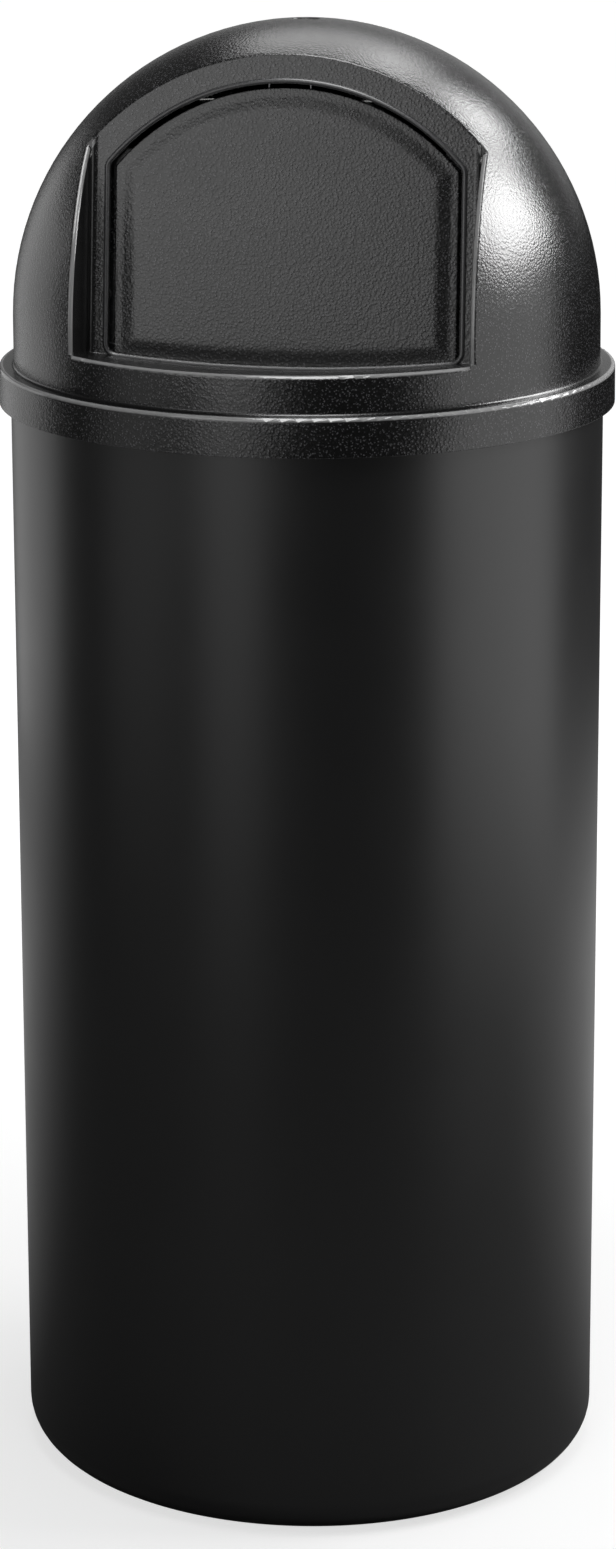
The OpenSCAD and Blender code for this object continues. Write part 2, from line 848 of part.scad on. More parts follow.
// Arched door: a skin with a raised field, edge walls, ribs, a rear flange
// that meets the buffers, and two knuckles on the rod
module push_door() {
    skin_back = door_front - door_skin;
    color([0.12, 0.12, 0.125])
    on_face()
        difference() {
            union() {
                face_slab(skin_back, door_front)
                    arch_outline(-door_gap, door_drop);
                hull() {
                    face_slab(door_front - 0.5, door_front - 0.1)
                        arch_outline(-door_gap - border_w, door_drop);
                    face_slab(door_front + field_rise - 0.1, door_front + field_rise)
                        arch_outline(-door_gap - border_w - field_slope, door_drop);
                }
                // edge walls
                face_slab(door_back, skin_back + 1)
                    difference() {
                        arch_outline(-door_gap, door_drop);
                        arch_outline(-door_gap - door_rib, door_drop);
                    }
                // rear flange beside and below the doorway
                face_slab(door_back - flange_t, door_back)
                    intersection() {
                        difference() {
                            arch_outline(flange_reach, door_overhang - flange_reach - flange_lift);
                            arch_outline(-door_gap - door_rib, door_drop);
                        }
                        translate([-dome_r, -dome_r])
                            square([2 * dome_r, dome_r + flange_top_y]);
                    }
                // ribs on the back
                intersection() {
                    face_slab(door_back, skin_back + 1)
                        arch_outline(-door_gap - 1, door_drop);
                    union() {
                        for (side = [-1, 1])
                            translate([side * rib_x - door_rib / 2, -dome_r, door_back])
                                cube([door_rib, dome_r + knuckle_foot_y, door_set_back - door_back]);
                        for (y = buffer_rows)
                            translate([-dome_r, y - door_rib / 2, door_back])
                                cube([2 * dome_r, door_rib, door_set_back - door_back]);
                    }
                }
                for (side = [-1, 1])
                    across(side * knuckle_x - knuckle_w / 2, side * knuckle_x + knuckle_w / 2)
                        hinge_web(skin_back + 1, knuckle_foot_y, axis_y - 1);
            }
            axis_bar(rod_r + rod_fit, -knuckle_x - knuckle_w, knuckle_x + knuckle_w);
        }
}

// Rubber buffers that the door's flange closes against
module door_buffers() {
    color([0.16, 0.15, 0.15])
    on_face()
        at_buffers() {
            translate([0, 0, buffer_back])
                cylinder(r1 = buffer_r - buffer_chamfer, r2 = buffer_r, h = buffer_chamfer);
            translate([0, 0, buffer_back + buffer_chamfer])
                cylinder(r = buffer_r, h = buffer_t - buffer_chamfer);
            translate([0, 0, boss_back])
                cylinder(r = buffer_stem_r, h = buffer_stem);
        }
}

tub();
bag_band();
hood();
hinge_bracket_left();
hinge_bracket_right();
bracket_screws();
hinge_rod();
rod_caps();
door_spring_left();
door_spring_right();
push_door();
door_buffers();
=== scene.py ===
# Domed push-door waste container: a black moulded tub under a lift-off hood,
# whose arched door swings inward on a sprung rod. It is put together here from
# the floor up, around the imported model's frame.
import math
import bpy
import bmesh
from mathutils import Matrix, Vector


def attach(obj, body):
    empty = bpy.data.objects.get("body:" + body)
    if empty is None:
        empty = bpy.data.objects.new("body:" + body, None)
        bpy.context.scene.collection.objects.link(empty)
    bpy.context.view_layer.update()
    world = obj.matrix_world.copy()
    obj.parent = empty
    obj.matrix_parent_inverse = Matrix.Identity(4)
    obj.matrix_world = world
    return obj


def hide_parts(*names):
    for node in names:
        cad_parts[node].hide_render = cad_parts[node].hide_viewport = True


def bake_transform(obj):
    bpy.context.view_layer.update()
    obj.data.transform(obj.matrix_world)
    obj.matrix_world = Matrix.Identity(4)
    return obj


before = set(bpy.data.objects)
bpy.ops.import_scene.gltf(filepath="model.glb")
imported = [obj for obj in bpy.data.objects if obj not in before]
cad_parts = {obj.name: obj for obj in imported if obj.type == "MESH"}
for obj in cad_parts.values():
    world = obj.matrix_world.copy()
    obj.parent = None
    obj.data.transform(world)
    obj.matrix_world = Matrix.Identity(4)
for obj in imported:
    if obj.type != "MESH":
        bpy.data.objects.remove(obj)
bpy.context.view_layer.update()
scene = bpy.context.scene


# Camera. It stands to the right of the door and above the hood. Its lens is
# shifted right and down, which keeps the lines of a tall container upright.
def linked(name, data):
    """A new object, linked to the scene."""
    made = bpy.data.objects.new(name, data)
    scene.collection.objects.link(made)
    return made


eye_turn, eye_distance, eye_height = 0.1626, 2.7313, 1.213
pan, pitch, roll = 0.1914, -0.1626, -0.0078
focal_px, centre_px = 4368.0, (182.0, 274.0)
photo_size = (616, 1549)

camera = linked("camera", bpy.data.cameras.new("camera"))
scene.camera = camera
ahead = Vector((-math.sin(pan) * math.cos(pitch), math.cos(pan) * math.cos(pitch),
                math.sin(pitch)))
level = Vector((math.cos(pan), math.sin(pan), 0))
upward = level.cross(ahead)
right = math.cos(roll) * level + math.sin(roll) * upward
above = math.cos(roll) * upward - math.sin(roll) * level
place = Matrix((right, above, -ahead)).transposed().to_4x4()
place.translation = (eye_distance * math.sin(eye_turn), -eye_distance * math.cos(eye_turn),
                     eye_height)
camera.matrix_world = place
camera.data.lens = focal_px * camera.data.sensor_width / photo_size[1]
camera.data.shift_x = (photo_size[0] / 2 - centre_px[0]) / photo_size[1]
camera.data.shift_y = (centre_px[1] - photo_size[1] / 2) / photo_size[1]


# Tub. One round, slightly tapered moulding in black polyethylene with a rounded
# foot, a foot ring, a thickened rim, and rings and ribs under its floor. Its
# wall is one profile turned round the axis, and its skin is a fine satin.
def shader(name, links):
    """A node material: links(tree, principled) adds the nodes that drive it."""
    material = bpy.data.materials.new(name)
    material.use_nodes = True
    links(material.node_tree, material.node_tree.nodes["Principled BSDF"])
    return material


def feed(tree, value, socket):
    """Links an output to an input, or sets the input to a plain value."""
    if isinstance(value, bpy.types.NodeSocket):
        tree.links.new(value, socket)
    else:
        socket.default_value = value


def node(tree, kind, **settings):
    """One node. Each setting is a property of it or feeds the input of that name."""
    made = tree.nodes.new(kind)
    for key, value in settings.items():
        if hasattr(made, key):
            setattr(made, key, value)
        else:
            feed(tree, value, made.inputs[key.replace("_", " ")])
    return made


def maths(tree, operation, *values, kind="ShaderNodeMath"):
    """What a maths node gives for some outputs and numbers."""
    made = node(tree, kind, operation=operation)
    for value, socket in zip(values, made.inputs):
        feed(tree, value, socket)
    return made.outputs["Value"]


def remapped(tree, value, span, onto=(0.0, 1.0)):
    """A value whose span is mapped onto another span, and held within that."""
    return node(tree, "ShaderNodeMapRange", Value=value, From_Min=span[0], From_Max=span[1],
                To_Min=onto[0], To_Max=onto[1]).outputs["Result"]


def mixed(tree, blend, factor, *colours):
    """Two colours mixed or multiplied by a factor."""
    made = node(tree, "ShaderNodeMix", data_type="RGBA", blend_type=blend, Factor=factor)
    for colour, socket in zip(colours, [s for s in made.inputs if s.type == "RGBA"]):
        feed(tree, colour, socket)
    return next(s for s in made.outputs if s.type == "RGBA")


def grain(tree, skin, size, depth, tint, polish, spread, polish_spread, rub=0.5, edge=0.0007,
          crest_glint=0.2, etched=None):
    """Moulded skin: raised pebbles of one size, under a finer noise, whose crests
    carry a painted glint that lightens their colour. Colour and polish drift
    slowly across the piece, and its corners are eased and lightened by wear.
    etched gives two masks: where the first is 0 the mould is polished and the
    skin smooth, and the second is 1 where a painted highlight lightens the edges."""
    dust_fineness, dust_share = 2.3, 0.55
    crests, darkest, glint_gain = (0.9, 1.25), 0.4, 3
    corners, patches, usual = (0.99, 0.8), (0.35, 0.6), (0.3, 0.7)
    # The lift is large on the etched hood, where this lighter colour is a painted highlight on
    # its edges; elsewhere it is the colour of worn corners.
    wear_and_highlight_gain, wear_and_highlight_lift, wear_and_highlight_limit, rub_polish = 1.6, 0.22 if etched else 0.02, 0.8, -0.12
    place = node(tree, "ShaderNodeTexCoord").outputs["Object"]
    pebbles = node(tree, "ShaderNodeTexVoronoi", feature="SMOOTH_F1", Vector=place,
                   Scale=1 / size, Smoothness=0.6).outputs["Distance"]
    dust = node(tree, "ShaderNodeTexNoise", Vector=place, Scale=dust_fineness / size,
                Detail=3.0, Roughness=0.65).outputs["Fac"]
    drift = node(tree, "ShaderNodeTexNoise", Vector=place, Scale=9.0, Detail=4.0,
                 Roughness=0.55).outputs["Fac"]
    height = maths(tree, "MULTIPLY_ADD", dust, dust_share,
                   remapped(tree, pebbles, (0.0, 1.0), (1.0, 0.0)))
    if etched:
        rough, painted_highlight_edges = etched(tree, place)
        height = maths(tree, "MULTIPLY", height, rough)
    eased = node(tree, "ShaderNodeBevel", samples=4, Radius=edge).outputs["Normal"]
    bump = node(tree, "ShaderNodeBump", Strength=1.0, Distance=depth, Height=height, Normal=eased)
    flat = node(tree, "ShaderNodeNewGeometry").outputs["Normal"]
    along = maths(tree, "DOT_PRODUCT", eased, flat, kind="ShaderNodeVectorMath")
    wear_and_highlight = maths(tree, "MULTIPLY", remapped(tree, along, corners),
                 remapped(tree, drift, patches, (0.0, rub)))
    # On the hood the painted highlight on its edges joins the worn corners here.
    if etched:
        wear_and_highlight = maths(tree, "MAXIMUM", wear_and_highlight, painted_highlight_edges)
    shade = remapped(tree, drift, usual, (1 - spread, 1 + spread))
    # Painted glint: the crests are lightened in colour to stand for the small highlights that the
    # grain catches.
    crest_glints = remapped(tree, height, crests, (max(1 - crest_glint, darkest), 1 + glint_gain * crest_glint))
    colour = mixed(tree, "MULTIPLY", 1.0, (*tint, 1), maths(tree, "MULTIPLY", shade, crest_glints))
    wear_and_highlight_colour = (*[min(c * wear_and_highlight_gain + wear_and_highlight_lift, wear_and_highlight_limit) for c in tint], 1)
    gloss = remapped(tree, drift, usual, (polish - polish_spread, polish + polish_spread))
    feed(tree, bump.outputs["Normal"], skin.inputs["Normal"])
    feed(tree, mixed(tree, "MIX", wear_and_highlight, colour, wear_and_highlight_colour), skin.inputs["Base Color"])
    feed(tree, maths(tree, "MULTIPLY_ADD", wear_and_highlight, rub_polish, gloss), skin.inputs["Roughness"])
    skin.inputs["Specular IOR Level"].default_value = 1.0


def geometry_tree(name, result, **inputs):
    """A geometry tree with named inputs and one result, and its input sockets."""
    tree = bpy.data.node_groups.new(name, "GeometryNodeTree")
    for label, kind in inputs.items():
        tree.interface.new_socket(label, in_out="INPUT", socket_type="NodeSocket" + kind)
    tree.interface.new_socket(result, in_out="OUTPUT", socket_type="NodeSocketGeometry")
    return tree, node(tree, "NodeGroupInput").outputs


def painted(tree, shape, skin):
    """Ends a geometry tree: its copies are made real and given their skin."""
    real = node(tree, "GeometryNodeRealizeInstances", Geometry=shape)
    paint = node(tree, "GeometryNodeSetMaterial", Geometry=real.outputs["Geometry"],
                 Material=skin)
    feed(tree, paint.outputs["Geometry"], node(tree, "NodeGroupOutput").inputs[0])
    return tree


def turning_tree():
    """Turns a profile (radius as X, minus height as Y) round the Z axis. The
    corners named in the attribute "round" are rounded first."""
    tree, given = geometry_tree("turned_profile", "Turned", Profile="Geometry",
                                Segments="Int", Steps="Int", Skin="Material")
    line = node(tree, "GeometryNodeMeshToCurve", Mesh=given["Profile"])
    corner = node(tree, "GeometryNodeInputNamedAttribute", data_type="FLOAT", Name="round")
    fillet = node(tree, "GeometryNodeFilletCurve", mode="POLY", Curve=line.outputs["Curve"],
                  Radius=corner.outputs["Attribute"], Count=given["Steps"], Limit_Radius=True)
    ring = node(tree, "GeometryNodeCurvePrimitiveCircle", Radius=core_r / 1000,
                Resolution=given["Segments"])
    swept = node(tree, "GeometryNodeCurveToMesh", Curve=ring.outputs["Curve"],
                 Profile_Curve=fillet.outputs["Curve"])
    weld = node(tree, "GeometryNodeMergeByDistance", Geometry=swept.outputs["Mesh"],
                Distance=2 * weld_gap)
    smooth = node(tree, "GeometryNodeSetShadeSmooth", Geometry=weld.outputs["Geometry"])
    return painted(tree, smooth.outputs["Geometry"], given["Skin"])


def grown(name, source, tree, **inputs):
    """Runs a geometry tree on a source mesh and keeps its result as a plain mesh
    with its faces outward and its shading smooth between sharp edges."""
    carrier = linked(name + "_source", source)
    modifier = carrier.modifiers.new("grow", "NODES")
    modifier.node_group = tree
    for item in tree.interface.items_tree:
        if item.item_type == "SOCKET" and item.in_out == "INPUT" and item.name in inputs:
            modifier[item.identifier] = inputs[item.name]
    evaluated = carrier.evaluated_get(bpy.context.evaluated_depsgraph_get())
    mesh = bpy.data.meshes.new_from_object(evaluated)
    bpy.data.objects.remove(carrier)
    return finished(name, mesh)


def finished(name, mesh):
    """Welds a mesh, turns its faces outward, marks its sharp edges, keeps its one
    skin and links it."""
    shape = bmesh.new()
    shape.from_mesh(mesh)
    bmesh.ops.remove_doubles(shape, verts=shape.verts, dist=weld_gap)
    bmesh.ops.dissolve_degenerate(shape, edges=shape.edges, dist=weld_gap)
    bmesh.ops.recalc_face_normals(shape, faces=shape.faces)
    for edge in shape.edges:
        edge.smooth = len(edge.link_faces) == 2 and edge.calc_face_angle(0) < sharp_angle
    for face in shape.faces:
        face.smooth = True
        face.material_index = 0
    shape.to_mesh(mesh)
    shape.free()
    skin = next(material for material in mesh.materials if material)
    mesh.materials.clear()
    mesh.materials.append(skin)
    mesh.name = name
    return linked(name, mesh)


def profile(points):
    """A profile mesh from (radius, height, rounding) triples in millimetres."""
    line = bpy.data.meshes.new("profile")
    line.from_pydata([((r - core_r) / 1000, -z / 1000, 0) for r, z, _ in points],
                     [(i, i + 1) for i in range(len(points) - 1)], [])
    rounding = line.attributes.new("round", "FLOAT", "POINT")
    rounding.data.foreach_set("value", [c / 1000 for _, _, c in points])
    return line


def spoke_tree():
    """Sets copies of one rib evenly round the Z axis."""
    tree, given = geometry_tree("ribs_round_axis", "Ribs", Rib="Geometry", Count="Int",
                                Skin="Material")
    points = node(tree, "GeometryNodePoints", Count=given["Count"])
    angle = maths(tree, "MULTIPLY", node(tree, "GeometryNodeInputIndex").outputs["Index"],
                  maths(tree, "DIVIDE", 2 * math.pi, given["Count"]))
    around = node(tree, "ShaderNodeCombineXYZ", Z=angle)
    turned = node(tree, "FunctionNodeEulerToRotation", Euler=around.outputs["Vector"])
    copies = node(tree, "GeometryNodeInstanceOnPoints", Points=points.outputs[0],
                  Instance=given["Rib"], Rotation=turned.outputs["Rotation"])
    return painted(tree, copies.outputs["Instances"], given["Skin"])


def plate(shape, low, high):
    """Adds a closed plate to a bmesh, between two outlines of points in metres."""
    below, above = ([shape.verts.new(point) for point in outline] for outline in (low, high))
    shape.faces.new(below[::-1])
    shape.faces.new(above)
    for i in range(len(below)):
        j = (i + 1) % len(below)
        shape.faces.new((below[i], below[j], above[j], above[i]))


def as_mesh(name, shape):
    """Keeps a bmesh as a mesh and frees it."""
    mesh = bpy.data.meshes.new(name)
    shape.to_mesh(mesh)
    shape.free()
    return mesh


def joined(name, parts):
    """Makes one piece of several parts that are moulded in one."""
    whole = bmesh.new()
    for part in parts:
        whole.from_mesh(part.data)
    whole.to_mesh(parts[0].data)
    whole.free()
    for part in parts[1:]:
        bpy.data.objects.remove(part)
    parts[0].name = parts[0].data.name = name
    return parts[0]


core_r, weld_gap, sharp_angle = 1.0, 0.000002, math.radians(32)
turn = turning_tree()
tub_top, tub_base, tub_thick = 188.0, 184.0, 4.0
neck_z, rim_low, tub_rim, rim_r = 695.2, 698.4, 705.2, 191.2
foot_in, foot_out, floor_z, foot_rounding = 144, 146, 8, 22
tub_profile = profile([
    (0, floor_z, 0), (foot_in, floor_z, 1), (foot_out, 0, 1), (tub_base, 0, foot_rounding),
    (tub_top, neck_z, 0.5), (rim_r, rim_low, 0.8), (rim_r, tub_rim, 1.5),
    (tub_top - tub_thick, tub_rim, 1), (tub_top - tub_thick, neck_z, 0.8),
    (tub_base - tub_thick, floor_z + tub_thick, foot_rounding - tub_thick),
    (0, floor_z + tub_thick, 0)])
tub_skin = shader("satin_black_polyethylene", lambda tree, skin: grain(
    tree, skin, size=0.0007, depth=0.00001, tint=(0.0048, 0.0048, 0.0051), polish=0.34,
    spread=0.12, polish_spread=0.02))
tub_wall = grown("tub_moulding", tub_profile, turn, Segments=256, Steps=10, Skin=tub_skin)

ring_radii, rib_t, rib_low, rib_high = (20.0, 73.0), 3.0, 2.5, 8.5
rib_start, rib_end, rib_count = 18.0, 145.9, 8
floor_rings = [grown("floor_ring", profile([
    (r - rib_t, rib_high, 0), (r - rib_t, rib_low, 0.5), (r, rib_low, 0.5), (r, rib_high, 0.1),
    (r - rib_t, rib_high, 0)]), turn, Segments=96, Steps=3, Skin=tub_skin) for r in ring_radii]
rib = bmesh.new()
rib_corners = [(rib_start, -rib_t / 2), (rib_end, -rib_t / 2), (rib_end, rib_t / 2),
               (rib_start, rib_t / 2)]
plate(rib, *[[(x / 1000, y / 1000, z / 1000) for x, y in rib_corners]
             for z in (rib_low, rib_high)])
ribs = grown("floor_ribs", as_mesh("floor_rib", rib), spoke_tree(), Count=rib_count,
             Skin=tub_skin)
tub = joined("tub_moulding", [tub_wall, *floor_rings, ribs])
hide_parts("tub")
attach(tub, "base")

# Bag band. A rubber band round the tub's neck, under the rim. It grips a bag
# that is folded over the rim, and is stretched on by hand.
band_in, band_out, band_low, band_high = 188.3, 190.5, 688.9, 694.9
rubber = shader("matt_black_rubber", lambda tree, skin: grain(
    tree, skin, size=0.0012, depth=0.00002, tint=(0.014, 0.013, 0.013), polish=0.7, spread=0.2,
    polish_spread=0.05))
band = grown("bag_band_loop", profile([
    (band_in, band_low, 0.2), (band_out, band_low, 0.8), (band_out, band_high, 0.8),
    (band_in, band_high, 0.2), (band_in, band_low, 0)]), turn, Segments=192, Steps=4, Skin=rubber)
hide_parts("bag_band")
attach(band, "base")


# Hood. One injection moulding in the same black plastic as the tub, with a
# leather grain outside and a polish inside. The CAD shell keeps its true edges,
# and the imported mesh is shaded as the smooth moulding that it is.
def smoothing_tree(sharp):
    """Shades a mesh smooth except at edges sharper than an angle in degrees."""
    tree, given = geometry_tree("smooth_between_edges", "Smoothed", Mesh="Geometry")
    angle = node(tree, "GeometryNodeInputMeshEdgeAngle").outputs["Unsigned Angle"]
    within = node(tree, "FunctionNodeCompare", data_type="FLOAT", operation="LESS_THAN",
                  A=angle, B=math.radians(sharp))
    faces = node(tree, "GeometryNodeSetShadeSmooth", domain="FACE", Geometry=given["Mesh"])
    edges = node(tree, "GeometryNodeSetShadeSmooth", domain="EDGE",
                 Geometry=faces.outputs["Geometry"], Shade_Smooth=within.outputs["Result"])
    feed(tree, edges.outputs["Geometry"], node(tree, "NodeGroupOutput").inputs[0])
    return tree


def shaded(name, skin):
    """Gives a CAD node its skin and smooth shading that respects its edges."""
    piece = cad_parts[name]
    piece.data.materials.clear()
    piece.data.materials.append(skin)
    weld = piece.modifiers.new("weld", "WELD")
    weld.merge_threshold = weld_gap
    edges = piece.modifiers.new("edges", "NODES")
    edges.node_group = edge_tree
    weighted = piece.modifiers.new("weighted", "WEIGHTED_NORMAL")
    weighted.keep_sharp = True


def mould_and_highlight_masks(tree, place):
    """Two masks. The first is 1 on the dome, collar and recessed face, whose mould
    is etched with grain, and 0 on the recess walls, the sill and inside, whose
    mould is polished. The second is 1 on the dome's edge round the recess and on
    the collar's shoulder, where it lays a painted highlight."""
    dome_skin, face_skin, collar_skin = (0.1849, 0.1857), (0.0005, 0.0012), (0.1925, 0.1932)
    edge_in, edge_out, edge_proud = (0.1828, 0.1836), (0.1852, 0.18585), (0.0004, 0.0008)
    shoulder, off_shoulder, on_shoulder = 0.7088, (0.0012, 0.0022), (0.0009, 0.0016)
    parts = node(tree, "ShaderNodeSeparateXYZ", Vector=place).outputs
    rise = maths(tree, "MAXIMUM", maths(tree, "SUBTRACT", parts["Z"], dome_z / 1000), 0.0)
    from_centre = node(tree, "ShaderNodeCombineXYZ", X=parts["X"], Y=parts["Y"], Z=rise)
    reach = maths(tree, "LENGTH", from_centre.outputs["Vector"], kind="ShaderNodeVectorMath")
    lean = maths(tree, "DOT_PRODUCT", place, (0, -math.cos(tilt), math.sin(tilt)),
                 kind="ShaderNodeVectorMath")
    off_face = maths(tree, "SUBTRACT", lean, (recess_d + dome_z * math.sin(tilt)) / 1000)
    on_face = remapped(tree, maths(tree, "ABSOLUTE", off_face), face_skin, (1.0, 0.0))
    outside = maths(tree, "MAXIMUM", remapped(tree, reach, dome_skin), on_face)
    height = maths(tree, "ABSOLUTE", maths(tree, "SUBTRACT", parts["Z"], shoulder))
    etched = maths(tree, "MULTIPLY", outside, remapped(tree, height, off_shoulder, (0.15, 1.0)))
    ring = maths(tree, "MULTIPLY", remapped(tree, reach, edge_out, (1.0, 0.0)),
                 remapped(tree, reach, edge_in))
    dome_edge = maths(tree, "MULTIPLY", ring, remapped(tree, off_face, edge_proud))
    collar_edge = maths(tree, "MULTIPLY", remapped(tree, height, on_shoulder, (1.0, 0.0)),
                        remapped(tree, reach, collar_skin))
    return etched, maths(tree, "MAXIMUM", dome_edge, collar_edge)


tilt, dome_z, dome_r, recess_d = math.radians(6.5), 741.0, 186.0, 90.5
edge_tree = smoothing_tree(30)
black = (0.0055, 0.0055, 0.0058)
# The hood's crests carry a strong painted glint, and a painted highlight lightens the dome's edge
# round the recess and the collar's shoulder.
shaded("hood", shader("leather_grain_black_plastic", lambda tree, skin: grain(
    tree, skin, size=0.0016, depth=0.00014, tint=black, polish=0.24, spread=0.10,
    polish_spread=0.03, crest_glint=5.5, etched=mould_and_highlight_masks)))


# Doorway bead. The half-round that frames the doorway is moulded with the hood.
# It is swept here along the doorway's arched outline as one smooth round.
def on_face(x, y, z):
    """A point given across, up and out from the recessed face, in metres."""
    return Vector((x, -(recess_d + z) * math.cos(tilt) + y * math.sin(tilt),
                   dome_z + (recess_d + z) * math.sin(tilt) + y * math.cos(tilt))) / 1000


def arc(x, y, radius, start, end, steps):
    """Points along an arc about a centre."""
    angles = [start + (end - start) * i / steps for i in range(steps + 1)]
    return [(x + radius * math.cos(a), y + radius * math.sin(a)) for a in angles]


def doorway_outline(grow, drop=0.0):
    """Points of the doorway's outline grown by a distance, its bottom lowered by
    drop, from the middle of the sill anticlockwise round and back."""
    sill_steps, corner_steps, side_steps, arch_steps = 14, 6, 8, 26
    r = max(corner + grow, least_corner)
    x = half_width + grow - r
    low_r, low_centre = sill_radius - threshold + grow, sill_centre - drop
    top_r = arch_radius + grow
    top_y = arch_lift + math.sqrt((top_r - r) ** 2 - x * x)
    low_y = low_centre - math.sqrt((low_r - r) ** 2 - x * x)
    low_turn = math.atan2(low_y - low_centre, x)
    top_turn = math.atan2(top_y - arch_lift, x)
    half = arc(0, low_centre, low_r, -math.pi / 2, low_turn, sill_steps)
    half += arc(x, low_y, r, low_turn, 0, corner_steps)[1:]
    half += [(x + r, low_y + (top_y - low_y) * i / side_steps) for i in range(1, side_steps)]
    half += arc(x, top_y, r, 0, top_turn, corner_steps)
    half += arc(0, arch_lift, top_r, top_turn, math.pi / 2, arch_steps)[1:]
    return half + [(-px, py) for px, py in reversed(half[1:-1])]


def sweeping_tree():
    """Sweeps a round section along a line, such as a bead or a bent wire."""
    tree, given = geometry_tree("swept_round", "Swept", Path="Geometry", Radius="Float",
                                Sides="Int", Skin="Material")
    line = node(tree, "GeometryNodeMeshToCurve", Mesh=given["Path"])
    ring = node(tree, "GeometryNodeCurvePrimitiveCircle", Radius=given["Radius"],
                Resolution=given["Sides"])
    swept = node(tree, "GeometryNodeCurveToMesh", Curve=line.outputs["Curve"],
                 Profile_Curve=ring.outputs["Curve"], Fill_Caps=True)
    return painted(tree, swept.outputs["Mesh"], given["Skin"])


def path(points, closed=False):
    """A path mesh through points in metres."""
    line = bpy.data.meshes.new("path")
    edges = [(i, i + 1) for i in range(len(points) - 1)]
    line.from_pydata(points, edges + ([(len(points) - 1, 0)] if closed else []), [])
    return line


half_width, corner, least_corner = 109.5, 6.0, 1.5
arch_lift, arch_border, threshold = 2.5, 18, 1.8
arch_radius = math.sqrt(dome_r ** 2 - recess_d ** 2) - arch_border - arch_lift
dish_radius, dish_edge_z = 950.0, 734.0
dish_z = dish_edge_z + math.sqrt(dish_radius ** 2 - dome_r ** 2)
sill_centre = (dish_z - dome_z) * math.cos(tilt)
sill_radius = math.sqrt(dish_radius ** 2 - ((dish_z - dome_z) * math.sin(tilt) - recess_d) ** 2)

sweep = sweeping_tree()
bead_round, bead_lap = 1.6, 0.02
# The bead is the hood's black plastic, painted lighter as a painted highlight along its round.
bead_highlight_skin = shader("black_plastic_painted_highlight", lambda tree, skin: grain(
    tree, skin, size=0.0015, depth=0.000006, tint=(0.045, 0.045, 0.047), polish=0.28,
    spread=0.06, polish_spread=0.03))
bead_line = [on_face(x, y, 0) for x, y in doorway_outline(bead_round)]
bead = grown("doorway_bead", path(bead_line, closed=True), sweep,
             Radius=(bead_round + bead_lap) / 1000, Sides=16, Skin=bead_highlight_skin)
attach(bead, "hood")

# Hinge brackets. Two acetal mouldings screwed to pads behind the arch, which
# carry the rod's ends. They keep the CAD shape.
acetal = shader("grey_acetal", lambda tree, skin: grain(
    tree, skin, size=0.002, depth=0.000006, tint=(0.11, 0.107, 0.10), polish=0.38, spread=0.08,
    polish_spread=0.04, rub=0.4, edge=0.0005))
shaded("hinge_bracket_left", acetal)
shaded("hinge_bracket_right", acetal)


# Bracket screws. Four pan-head screws in zinc-plated steel, turned in from the
# back. One is turned and its cross recess cut, then it is set at the four holes.
def drawn(tree, skin, tint, polish, stretch=(12, 900, 900)):
    """Drawn or plated steel: fine lines along one way and small stains in the polish."""
    usual, stained_share, brighter, duller = (0.3, 0.7), 0.8, 0.08, 0.1
    place = node(tree, "ShaderNodeTexCoord").outputs["Object"]
    along = node(tree, "ShaderNodeMapping", Vector=place, Scale=stretch)
    lines = node(tree, "ShaderNodeTexNoise", Vector=along.outputs["Vector"], Scale=1.0,
                 Detail=3.0)
    stains = node(tree, "ShaderNodeTexNoise", Vector=place, Scale=160.0,
                  Detail=4.0).outputs["Fac"]
    ramp = node(tree, "ShaderNodeValToRGB", Fac=stains)
    ramp.color_ramp.elements[0].color = (*[c * stained_share for c in tint], 1)
    ramp.color_ramp.elements[1].color = (*tint, 1)
    bump = node(tree, "ShaderNodeBump", Strength=0.5, Distance=0.00001,
                Height=lines.outputs["Fac"])
    feed(tree, remapped(tree, stains, usual, (polish - brighter, polish + duller)),
         skin.inputs["Roughness"])
    feed(tree, ramp.outputs["Color"], skin.inputs["Base Color"])
    feed(tree, bump.outputs["Normal"], skin.inputs["Normal"])
    skin.inputs["Metallic"].default_value = 1.0


def setting_tree(cut):
    """Sets a turned profile at every spot, turned as the spot's "turn" says. With
    cut, the cutter's shape is taken out of the turned one first."""
    tree, given = geometry_tree(
        "set_and_cut" if cut else "set_at_spots", "Set", Profile="Geometry", Spots="Object",
        **({"Cutter": "Object"} if cut else {}), Segments="Int", Steps="Int", Skin="Material")
    shape = node(tree, "GeometryNodeGroup", node_tree=turn, Profile=given["Profile"],
                 Segments=given["Segments"], Steps=given["Steps"]).outputs["Turned"]
    if cut:
        cutter = node(tree, "GeometryNodeObjectInfo", Object=given["Cutter"])
        shape = node(tree, "GeometryNodeMeshBoolean", operation="DIFFERENCE", Mesh_1=shape,
                     Mesh_2=cutter.outputs["Geometry"]).outputs["Mesh"]
    points = node(tree, "GeometryNodeObjectInfo", Object=given["Spots"])
    lean = node(tree, "GeometryNodeInputNamedAttribute", data_type="FLOAT_VECTOR", Name="turn")
    turned = node(tree, "FunctionNodeEulerToRotation", Euler=lean.outputs["Attribute"])
    copies = node(tree, "GeometryNodeInstanceOnPoints", Points=points.outputs["Geometry"],
                  Instance=shape, Rotation=turned.outputs["Rotation"])
    return painted(tree, copies.outputs["Instances"], given["Skin"])


def spots(name, places, turns):
    """Points in metres with a turn each, for set pieces. It is removed after use."""
    mesh = bpy.data.meshes.new(name)
    mesh.from_pydata([tuple(p) for p in places], [], [])
    turn_each = mesh.attributes.new("turn", "FLOAT_VECTOR", "POINT")
    turn_each.data.foreach_set("vector", [c for t in turns for c in t])
    return linked(name, mesh)


